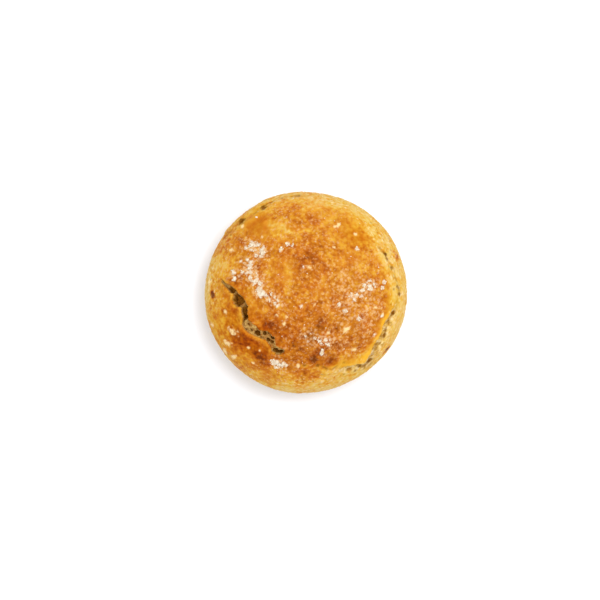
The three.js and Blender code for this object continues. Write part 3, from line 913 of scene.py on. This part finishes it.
def split_crumb_surface(shape):
    """Points, triangles and painted-shade mask of the split's crumb: a thin closed strip carried along its
    path.

    Rows lie along the path and columns across it. The upper sheet is sunk below the lips by its own depth,
    by round holes and by pores; the lower sheet follows it, and a wall round the border joins them.
    """
    rows, columns, margin, thickness = 380, 52, 0.9 * MM, 1.0 * MM
    along, part = np.linspace(0.005, 0.995, rows), np.linspace(0, 1, columns)
    track = along * (len(SPLIT_PATH) - 1)
    samples = np.arange(len(SPLIT_PATH))
    middle = np.column_stack([np.interp(track, samples, SPLIT_PATH[:, axis]) for axis in (0, 1)])
    lower, upper = split_edges(along)
    offset = ((lower - margin)[:, None] * (1 - part) + (upper + margin)[:, None] * part).ravel()
    share = np.repeat(along, columns)
    left = np.repeat(left_of(np.gradient(middle, axis=0)), columns, axis=0)
    plan = np.repeat(middle, columns, axis=0) + offset[:, None] * left
    direction = crown_direction(shape, plan)
    smooth = body_point(shape, direction)
    normal = outward(shape, smooth)

    length = path_length(SPLIT_PATH)
    depth = np.interp(share, *np.array(CRUMB_DEPTHS).T) * MM
    depth *= 1.2 - 0.4 * np.tile(part, rows)
    depth += MM * layered_noise(smooth, (2.4, 51, 0.9), (1.1, 52, 0.5))
    ragged = 1 + 0.5 * lattice_noise(smooth, 1.3, 53)
    hole = np.zeros(len(share))
    for place, shift, half_length, half_width, hole_depth in CRUMB_HOLES:
        lengthwise = (share - place) * length / (half_length * MM)
        far = np.hypot(lengthwise, (offset - shift * MM) / (half_width * MM)) * ragged
        hole = np.maximum(hole, hole_depth * MM * np.sqrt(np.clip(1 - far**3, 0, 1)))
    small = 0.8 * MM * pits(smooth, 1.7, 54, 0.6) + 0.4 * MM * pits(smooth, 0.9, 55, 0.6)
    sunk = depth + hole + small
    surface = smooth + (swell(shape, direction) + split_lips(shape, share, offset))[:, None] * normal
    down = shape.split_lean * np.column_stack([left, 0 * share]) + normal
    sheets = [surface - deep[:, None] * down for deep in (sunk, sunk + thickness)]
    upper_ids = np.arange(rows * columns).reshape(rows, columns)
    lower_ids = upper_ids + rows * columns
    walls = ring_faces(sheet_rim(upper_ids), sheet_rim(lower_ids))
    faces = np.vstack([sheet_faces(upper_ids), walls, sheet_faces(lower_ids)[:, ::-1]])
    # Painted shade: darker in the round holes, where the crumb lies deep, and in the small pores.
    hollow_shade = np.maximum(ease(hole, 0.2 * MM, 1.4 * MM), ease(depth, 2 * MM, 3.2 * MM))
    hollow_shade = np.maximum(hollow_shade, 0.9 * small / MM).clip(0, 0.95)
    return np.vstack(sheets) - outline_middle(shape), faces, {"hollow_shade": np.tile(hollow_shade, 2)}


SPLIT_PATH = smooth_path(SPLIT_KNOTS)
TEAR_PATH = smooth_path(TEAR_KNOTS)
SEAM_PATH = smooth_path(SEAM_KNOTS)
CURL_PATH = smooth_path(CURL_KNOTS)
FOLD_PATHS = [smooth_path(knots) for knots in FOLD_KNOTS]


def mesh_piece(name, material, points, triangles, masks=None):
    """A new object at the origin from arrays of points, triangles and named masks."""
    mesh = bpy.data.meshes.new(name)
    mesh.vertices.add(len(points))
    mesh.vertices.foreach_set("co", points.astype(np.float32).ravel())
    mesh.loops.add(triangles.size)
    mesh.loops.foreach_set("vertex_index", triangles.astype(np.int32).ravel())
    mesh.polygons.add(len(triangles))
    mesh.polygons.foreach_set("loop_start", np.arange(0, triangles.size, 3, dtype=np.int32))
    mesh.polygons.foreach_set("use_smooth", np.ones(len(triangles), dtype=bool))
    mesh.update(calc_edges=True)
    if mesh.validate():
        raise RuntimeError(f"{name} has broken faces")
    for key, mask in (masks or {}).items():
        mesh.attributes.new(key, "FLOAT", "POINT").data.foreach_set("value", mask.astype(np.float32))
    mesh.materials.append(material)
    piece = bpy.data.objects.new(name, mesh)
    bpy.context.scene.collection.objects.link(piece)
    return piece


def linear(colour):
    """A screen colour as the linear colour that a shader takes; a socket stays as it is."""
    if isinstance(colour, bpy.types.NodeSocket):
        return colour
    value = np.array(colour)
    return (*np.where(value <= 0.04045, value / 12.92, ((value + 0.055) / 1.055) ** 2.4), 1)


class Nodes:
    """Adds nodes to a tree; an input is given as a value or as the socket that feeds it."""

    def __init__(self, tree):
        self.tree = tree

    def add(self, kind, inputs=(), **settings):
        """One node of a kind, with settings set and inputs filled by name or number."""
        node = self.tree.nodes.new(kind)
        for key, value in settings.items():
            setattr(node, key, value)
        for key, value in dict(inputs).items():
            if isinstance(value, bpy.types.NodeSocket):
                self.tree.links.new(value, node.inputs[key])
            else:
                node.inputs[key].default_value = value
        return node

    def mask(self, name):
        """A named mask of the mesh."""
        return self.add("ShaderNodeAttribute", attribute_name=name).outputs["Fac"]

    def math(self, operation, *values):
        """One sum, product or other operation."""
        return self.add("ShaderNodeMath", enumerate(values), operation=operation).outputs[0]

    def times(self, value, factor, *plus):
        """A product, with a third value added to it if there is one."""
        return self.math("MULTIPLY_ADD" if plus else "MULTIPLY", value, factor, *plus)

    def remap(self, value, low, high, to_low=0.0, to_high=1.0):
        """A value's range moved onto another, held within it."""
        inputs = {"Value": value, "From Min": low, "From Max": high, "To Min": to_low, "To Max": to_high}
        return self.add("ShaderNodeMapRange", inputs).outputs[0]

    def noise(self, place, cell, detail=3.0, roughness=0.55):
        """Cloudy noise from 0 to 1 with features of the size of the cell."""
        inputs = {"Vector": place, "Scale": 1 / cell, "Detail": detail, "Roughness": roughness}
        return self.add("ShaderNodeTexNoise", inputs).outputs["Fac"]

    def grain(self, place, cell):
        """Height and shade of the shared grain, with features of the size of the cell."""
        group = bpy.data.node_groups.get(GRAIN_NAME) or grain_group()
        outputs = self.add("ShaderNodeGroup", {"Place": place, "Scale": 1 / cell}, node_tree=group).outputs
        return outputs["Height"], outputs["Shade"]

    def blend(self, share, first, second):
        """One colour mixed into another by a share."""
        inputs = {0: share, 6: linear(first), 7: linear(second)}
        return self.add("ShaderNodeMix", inputs, data_type="RGBA").outputs[2]

    def ramp(self, value, *stops):
        """Colours along a value: pairs of place and colour."""
        node = self.add("ShaderNodeValToRGB", {"Fac": value})
        elements = node.color_ramp.elements
        while len(elements) < len(stops):
            elements.new(1.0)
        for element, (place, colour) in zip(elements, stops):
            element.position = place
            element.color = linear(colour)
        return node.outputs["Color"]

    def relief(self, height, distance, strength):
        """Normal of fine relief from a height."""
        inputs = {"Height": height, "Distance": distance, "Strength": strength}
        return self.add("ShaderNodeBump", inputs).outputs["Normal"]

    def shade(self, inputs):
        """Ends a material with its shader."""
        shader = self.add("ShaderNodeBsdfPrincipled", inputs)
        self.add("ShaderNodeOutputMaterial", {"Surface": shader.outputs["BSDF"]})


def grain_group():
    """Shared effect: fine pits and grains of baked flour, as a height and as a shade."""
    group = bpy.data.node_groups.new(GRAIN_NAME, "ShaderNodeTree")
    group.interface.new_socket("Place", in_out="INPUT", socket_type="NodeSocketVector")
    group.interface.new_socket("Scale", in_out="INPUT", socket_type="NodeSocketFloat")
    for name in ("Height", "Shade"):
        group.interface.new_socket(name, in_out="OUTPUT", socket_type="NodeSocketFloat")
    nodes = Nodes(group)
    source = nodes.add("NodeGroupInput").outputs
    place = {"Vector": source["Place"], "Scale": source["Scale"]}
    soft = nodes.add("ShaderNodeTexNoise", {**place, "Detail": 4.0, "Roughness": 0.65}).outputs["Fac"]
    cells = nodes.add("ShaderNodeTexVoronoi", place).outputs["Distance"]
    nodes.add("NodeGroupOutput", {"Height": nodes.times(cells, -0.5, soft), "Shade": soft})
    return group


def new_material(name):
    """An empty node material, its node helper and its object coordinates."""
    material = bpy.data.materials.new(name)
    material.use_nodes = True
    material.node_tree.nodes.clear()
    nodes = Nodes(material.node_tree)
    return material, nodes, nodes.add("ShaderNodeTexCoord").outputs["Object"]


def crust_material(colours):
    """Baked crust: browning by mask and noise, pale speckle, dusted flour, torn crumb and painted shade in
    hollows.
    """
    material, nodes, place = new_material("Baked crust")
    cap, relief_highlight, floury = (nodes.mask(name) for name in ("cap", "relief_highlight", "flour"))
    mottle = nodes.noise(place, 1.8 * MM, 1.0, 0.5)
    height, shade = nodes.grain(place, 0.7 * MM)
    # The relief mask's negative weight paints raised places of the crust paler: a painted highlight.
    uneven = nodes.remap(cap, 0, 1, -0.9, -0.96)
    for pattern, weight in (
        (nodes.noise(place, 11 * MM, 1.0, 0.5), 0.35),
        (nodes.noise(place, 4.5 * MM, 2.0, 0.6), nodes.remap(cap, 0, 1, 0.6, 0.65)),
        (mottle, nodes.remap(cap, 0, 1, 0.55, 0.6)),
        (shade, 0.2),
        (relief_highlight, -0.12),
    ):
        uneven = nodes.times(pattern, weight, uneven)
    calm = nodes.remap(nodes.mask("calm"), -0.6, 1.0, 1.4, 0.35)
    tone = nodes.times(uneven, calm, nodes.mask("bake"))
    baked = nodes.ramp(
        tone, (0.0, colours.pale), (0.17, colours.golden), (0.32, colours.yellow), (0.46, colours.orange),
        (0.6, colours.amber), (0.8, colours.brown), (1.0, colours.scorched),
    )
    colour = nodes.add("ShaderNodeHueSaturation", {
        "Hue": nodes.remap(nodes.mask("ruddy"), -1.0, 1.0, 0.509, 0.491),
        "Saturation": nodes.remap(floury, -0.4, 0.0, 1.01, 1.0),
        "Color": baked,
    }).outputs["Color"]

    crinkle = nodes.math("SUBTRACT", nodes.noise(place, 2.4 * MM, 2.0, 0.6), 0.5)
    streaks = nodes.remap(nodes.math("ABSOLUTE", crinkle), 0.0, 0.07, 1.0, 0.0)
    streaks = nodes.math("MINIMUM", nodes.times(floury, 1.2, streaks), 1.0)
    # The pale speckle is floury, and it gathers on raised relief, partly a painted highlight.
    fine = nodes.times(relief_highlight, 0.16, nodes.noise(place, 1.1 * MM, 1.0, 0.5))
    wobble = nodes.add("ShaderNodeTexNoise", {"Vector": place, "Scale": 1 / (1.0 * MM)}).outputs["Color"]
    inputs = {0: wobble, 1: (0.9 * MM,) * 3, 2: place}
    shifted = nodes.add("ShaderNodeVectorMath", inputs, operation="MULTIPLY_ADD").outputs[0]
    cells = nodes.add("ShaderNodeTexVoronoi", {"Vector": shifted, "Scale": 1 / (1.7 * MM)}).outputs
    strewn = nodes.add("ShaderNodeSeparateColor", {"Color": cells["Color"]}).outputs["Red"]
    reach = nodes.remap(nodes.times(floury, 0.9, strewn), 0.4, 1.2, 0.0, 0.6)
    dots = nodes.remap(nodes.math("SUBTRACT", reach, cells["Distance"]), 0.0, 0.3)
    specks = nodes.times(streaks, nodes.remap(fine, 0.45, 0.64))
    specks = nodes.math("MAXIMUM", specks, nodes.times(dots, cap))
    for factor in (
        nodes.remap(tone, 0.3, 0.9, 0.75, 0.4),
        nodes.times(floury, 0.6, nodes.math("POWER", calm, 1.5)),
        nodes.remap(floury, -0.4, 0.0, 0.2, 1.0),
    ):
        specks = nodes.times(specks, factor)

    dust = nodes.times(nodes.mask("dust"), nodes.remap(nodes.noise(place, 0.8 * MM), 0.3, 0.65, 0.4, 0.95))
    # The torn shreds are paler where their relief is raised, a painted highlight.
    shreds = nodes.ramp(
        nodes.times(relief_highlight, 0.1, nodes.times(shade, 0.5, nodes.times(mottle, 0.5))),
        (0.34, colours.crumb), (0.44, colours.golden), (0.58, colours.fleck),
    )
    for share, layer in (
        (specks, colours.speckle),
        (dust, colours.flour),
        (nodes.mask("lip"), colours.yolk),
        (nodes.times(nodes.mask("fleck"), 0.9), colours.fleck),
        (nodes.mask("torn"), shreds),
        # Painted shade: the dark hollow colour laid into holes, pores and grooves.
        (nodes.mask("hollow_shade"), colours.hollow_shade),
    ):
        colour = nodes.blend(share, colour, layer)
    nodes.shade({
        "Base Color": colour, "Roughness": nodes.remap(dust, 0.0, 1.0, 0.55, 0.95),
        "Specular IOR Level": 0.04, "Normal": nodes.relief(height, 0.16 * MM, 0.5),
    })
    return material


def crumb_material(colours):
    """Torn crumb: pale and uneven, darker in its holes by painted shade, with fine pores."""
    material, nodes, place = new_material("Torn crumb")
    height, shade = nodes.grain(place, 0.45 * MM)
    patches = nodes.noise(place, 2.2 * MM, 2.0, 0.6)
    uneven = nodes.times(shade, 0.35, nodes.times(patches, 0.7))
    colour = nodes.ramp(uneven, (0.34, colours.brown), (0.48, colours.crumb), (0.68, colours.pale))
    nodes.shade({
        "Base Color": nodes.blend(nodes.mask("hollow_shade"), colour, colours.hollow_shade),
        "Roughness": nodes.remap(patches, 0.3, 0.7, 0.75, 0.95),
        "Specular IOR Level": 0.04, "Normal": nodes.relief(height, 0.2 * MM, 0.8),
    })
    return material


def flour_material(colours):
    """Dry flour: a warm white that varies a little from lump to lump."""
    material, nodes, place = new_material("Dry flour")
    height, shade = nodes.grain(place, 0.4 * MM)
    clumps = nodes.noise(place, 2.5 * MM, 2.0)
    tint = nodes.remap(nodes.math("ADD", clumps, shade), 0.8, 1.3, 0.0, 0.65)
    nodes.shade({
        "Base Color": nodes.blend(tint, colours.flour, colours.speckle), "Roughness": 0.95,
        "Specular IOR Level": 0.2, "Normal": nodes.relief(height, 0.06 * MM, 0.5),
    })
    return material


def icosahedron():
    """Corners and outward triangles of an icosahedron of radius 1."""
    golden = (1 + math.sqrt(5)) / 2
    pairs = np.array(list(itertools.product((-1, 1), (-golden, golden))))
    flat = np.column_stack([0 * pairs[:, :1], pairs])
    corners = np.vstack([np.roll(flat, turn, axis=1) for turn in range(3)])
    edge = 2
    near = np.linalg.norm(corners[:, None] - corners, axis=2) < 1.05 * edge
    faces = np.array([
        trio for trio in itertools.combinations(range(len(corners)), 3)
        if all(near[pair] for pair in itertools.combinations(trio, 2))
    ])
    inward = (face_normals(corners, faces) * corners[faces[:, 0]]).sum(axis=1) < 0
    faces[inward] = faces[inward][:, ::-1]
    return corners / math.hypot(1, golden), faces


def strewn_lumps(centres, normals, radii, rng):
    """Joined lumps: an icosahedron for each place, its corners pushed about, flattened along the normal."""
    corners, faces = icosahedron()
    count = len(centres)
    first = unit(np.cross(normals, rng.normal(size=(count, 3))))
    axes = np.stack([first, np.cross(normals, first), normals], axis=1)
    sizes = radii[:, None] * np.column_stack([rng.uniform(*limits, count) for limits in LUMP_SIZES])
    pushed = 1 + LUMP_UNEVENNESS * rng.normal(size=(count, len(corners), 1))
    local = corners * pushed * sizes[:, None]
    points = centres[:, None] + np.einsum("nck,nkd->ncd", local, axes)
    triangles = faces + len(corners) * np.arange(count)[:, None, None]
    return points.reshape(-1, 3), triangles.reshape(-1, 3)


def read_rows(rows, key, width=1, kind=np.float32):
    """One property of all rows of a mesh's data, as an array with a number of columns."""
    values = np.zeros(len(rows) * width, dtype=kind)
    rows.foreach_get(key, values)
    return values.reshape(-1, width)


def crust_samples(piece):
    """Vertices, normals, areas and masks of the finished crust."""
    mesh = piece.data
    points = read_rows(mesh.vertices, "co", 3).astype(float)
    normals = read_rows(mesh.vertex_normals, "vector", 3).astype(float)
    corners = read_rows(mesh.loops, "vertex_index", kind=np.int32).reshape(-1, 3)
    areas = np.linalg.norm(face_normals(points, corners), axis=1) / 6
    area = sum(np.bincount(corners[:, corner], areas, len(points)) for corner in range(3))
    names = ("flour", "dust", "cap", "hollow_shade")
    masks = {name: read_rows(mesh.attributes[name].data, "value")[:, 0] for name in names}
    return points, normals, area, masks


def draw_places(rng, points, normals, weight, count, jitter):
    """Random places on the crust: vertices drawn by weight, moved a little along the surface."""
    chosen = rng.choice(len(points), count, p=weight / weight.sum())
    moved = rng.normal(0, jitter, (count, 3))
    normal = normals[chosen]
    moved -= (moved * normal).sum(axis=1, keepdims=True) * normal
    return points[chosen] + moved, normal


class ROLL_OT_bake_crust(bpy.types.Operator):
    """Builds the crust of the roll as one closed surface"""

    bl_idname = "roll.bake_crust"
    bl_label = "Bake crust"

    def execute(self, context):
        settings = context.scene.bread_roll
        piece = mesh_piece("crust", crust_material(settings.colours), *crust_surface(settings.shape))
        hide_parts("roll")
        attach(piece, "root")
        return {"FINISHED"}


class ROLL_OT_fill_split(bpy.types.Operator):
    """Fills the split with porous crumb"""

    bl_idname = "roll.fill_split"
    bl_label = "Fill split"

    def execute(self, context):
        settings = context.scene.bread_roll
        surface = split_crumb_surface(settings.shape)
        piece = mesh_piece("split_crumb", crumb_material(settings.colours), *surface)
        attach(piece, "root")
        return {"FINISHED"}


class ROLL_OT_strew_flour(bpy.types.Operator):
    """Strews lumps and grains of flour over the crust"""

    bl_idname = "roll.strew_flour"
    bl_label = "Strew flour"

    def execute(self, context):
        settings = context.scene.bread_roll
        flour = settings.flour
        rng = np.random.default_rng(FLOUR_SEED)
        points, normals, area, masks = crust_samples(bpy.data.objects["crust"])
        holds_flour = normals[:, 2] > 0.2
        open_crust = area * (1 - masks["hollow_shade"]) * holds_flour
        thick = open_crust * masks["dust"] ** 2
        thin = open_crust * masks["cap"] * np.clip(0.4 + masks["flour"], 0, None)
        kinds = ((thick, flour.clumps), (thin, flour.strays))
        places = [draw_places(rng, points, normals, weight, count, FLOUR_JITTER) for weight, count in kinds]
        centres, directions = (np.vstack(pair) for pair in zip(*places))
        radii = np.concatenate([
            flour.clump_radius * rng.lognormal(0, CLUMP_SPREAD, flour.clumps),
            flour.stray_radius * rng.lognormal(0, STRAY_SPREAD, flour.strays),
        ])
        lumps = strewn_lumps(centres, directions, radii, rng)
        piece = mesh_piece("flour_clumps", flour_material(settings.colours), *lumps)
        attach(piece, "root")
        return {"FINISHED"}


def stage_floor(stage):
    """A plain pale floor, as one square."""
    half = stage.floor_side / 2
    corners = np.array([(-half, -half, 0), (half, -half, 0), (half, half, 0), (-half, half, 0)])
    material, nodes, _ = new_material("Pale floor")
    nodes.shade({"Base Color": linear(stage.floor_colour), "Roughness": 0.9})
    floor = mesh_piece("floor", material, corners, np.array([(0, 1, 2), (0, 2, 3)]))


def stage_light(stage, scene):
    """Even white light all round, and one large soft light high at the upper right."""
    world = bpy.data.worlds.new("Studio")
    world.use_nodes = True
    background = world.node_tree.nodes["Background"]
    background.inputs["Color"].default_value = (1, 1, 1, 1)
    background.inputs["Strength"].default_value = stage.sky_strength
    scene.world = world
    key = bpy.data.lights.new("key", "AREA")
    key.shape = "SQUARE"
    key.size = stage.key_side
    key.energy = stage.key_power
    lamp = bpy.data.objects.new("key", key)
    lamp.location = KEY_PLACE
    lamp.rotation_mode = "QUATERNION"
    lamp.rotation_quaternion = lamp.location.to_track_quat("Z", "Y")
    scene.collection.objects.link(lamp)


def stage_camera(stage, shape, scene):
    """A camera straight above, with the roll a little right of and above the middle of the picture."""
    pixel = stage.frame_side / PICTURE_SIDE
    height = shape.height * shape.widest_share + stage.camera_height
    camera = bpy.data.cameras.new("camera")
    camera.sensor_width = 36
    camera.lens = camera.sensor_width * stage.camera_height / stage.frame_side
    camera.clip_end = 10
    viewer = bpy.data.objects.new("camera", camera)
    viewer.location = (-PICTURE_RIGHT * pixel, -PICTURE_UP * pixel, height)
    scene.collection.objects.link(viewer)
    scene.camera = viewer


class ROLL_OT_set_stage(bpy.types.Operator):
    """Sets the pale floor, the soft light and the camera straight above"""

    bl_idname = "roll.set_stage"
    bl_label = "Set stage"

    def execute(self, context):
        settings = context.scene.bread_roll
        stage_floor(settings.stage)
        stage_light(settings.stage, context.scene)
        stage_camera(settings.stage, settings.shape, context.scene)
        context.scene.view_settings.view_transform = "Standard"
        return {"FINISHED"}


class VIEW3D_PT_bread_roll(bpy.types.Panel):
    """Settings and steps of the bread roll"""

    bl_label = "Bread roll"
    bl_space_type = "VIEW_3D"
    bl_region_type = "UI"
    bl_category = "Bread roll"

    def draw(self, context):
        settings = context.scene.bread_roll
        for operator in OPERATORS:
            self.layout.operator(operator.bl_idname)
        for group in (settings.shape, settings.colours, settings.flour, settings.stage):
            box = self.layout.box()
            for name in type(group).__annotations__:
                box.prop(group, name)


OPERATORS = (ROLL_OT_bake_crust, ROLL_OT_fill_split, ROLL_OT_strew_flour, ROLL_OT_set_stage)
CLASSES = (RollShape, RollColours, RollFlour, RollStage, BreadRoll, *OPERATORS, VIEW3D_PT_bread_roll)


def register():
    """Makes the settings, the operators and the panel known to Blender."""
    for cls in CLASSES:
        bpy.utils.register_class(cls)
    bpy.types.Scene.bread_roll = bpy.props.PointerProperty(type=BreadRoll)


def unregister():
    """Takes the settings, the operators and the panel away again."""
    del bpy.types.Scene.bread_roll
    for cls in reversed(CLASSES):
        bpy.utils.unregister_class(cls)


def main():
    """Builds the roll step by step."""
    register()
    bpy.ops.roll.bake_crust()
    bpy.ops.roll.fill_split()
    bpy.ops.roll.strew_flour()
    bpy.ops.roll.set_stage()


if __name__ == "__main__":
    main()
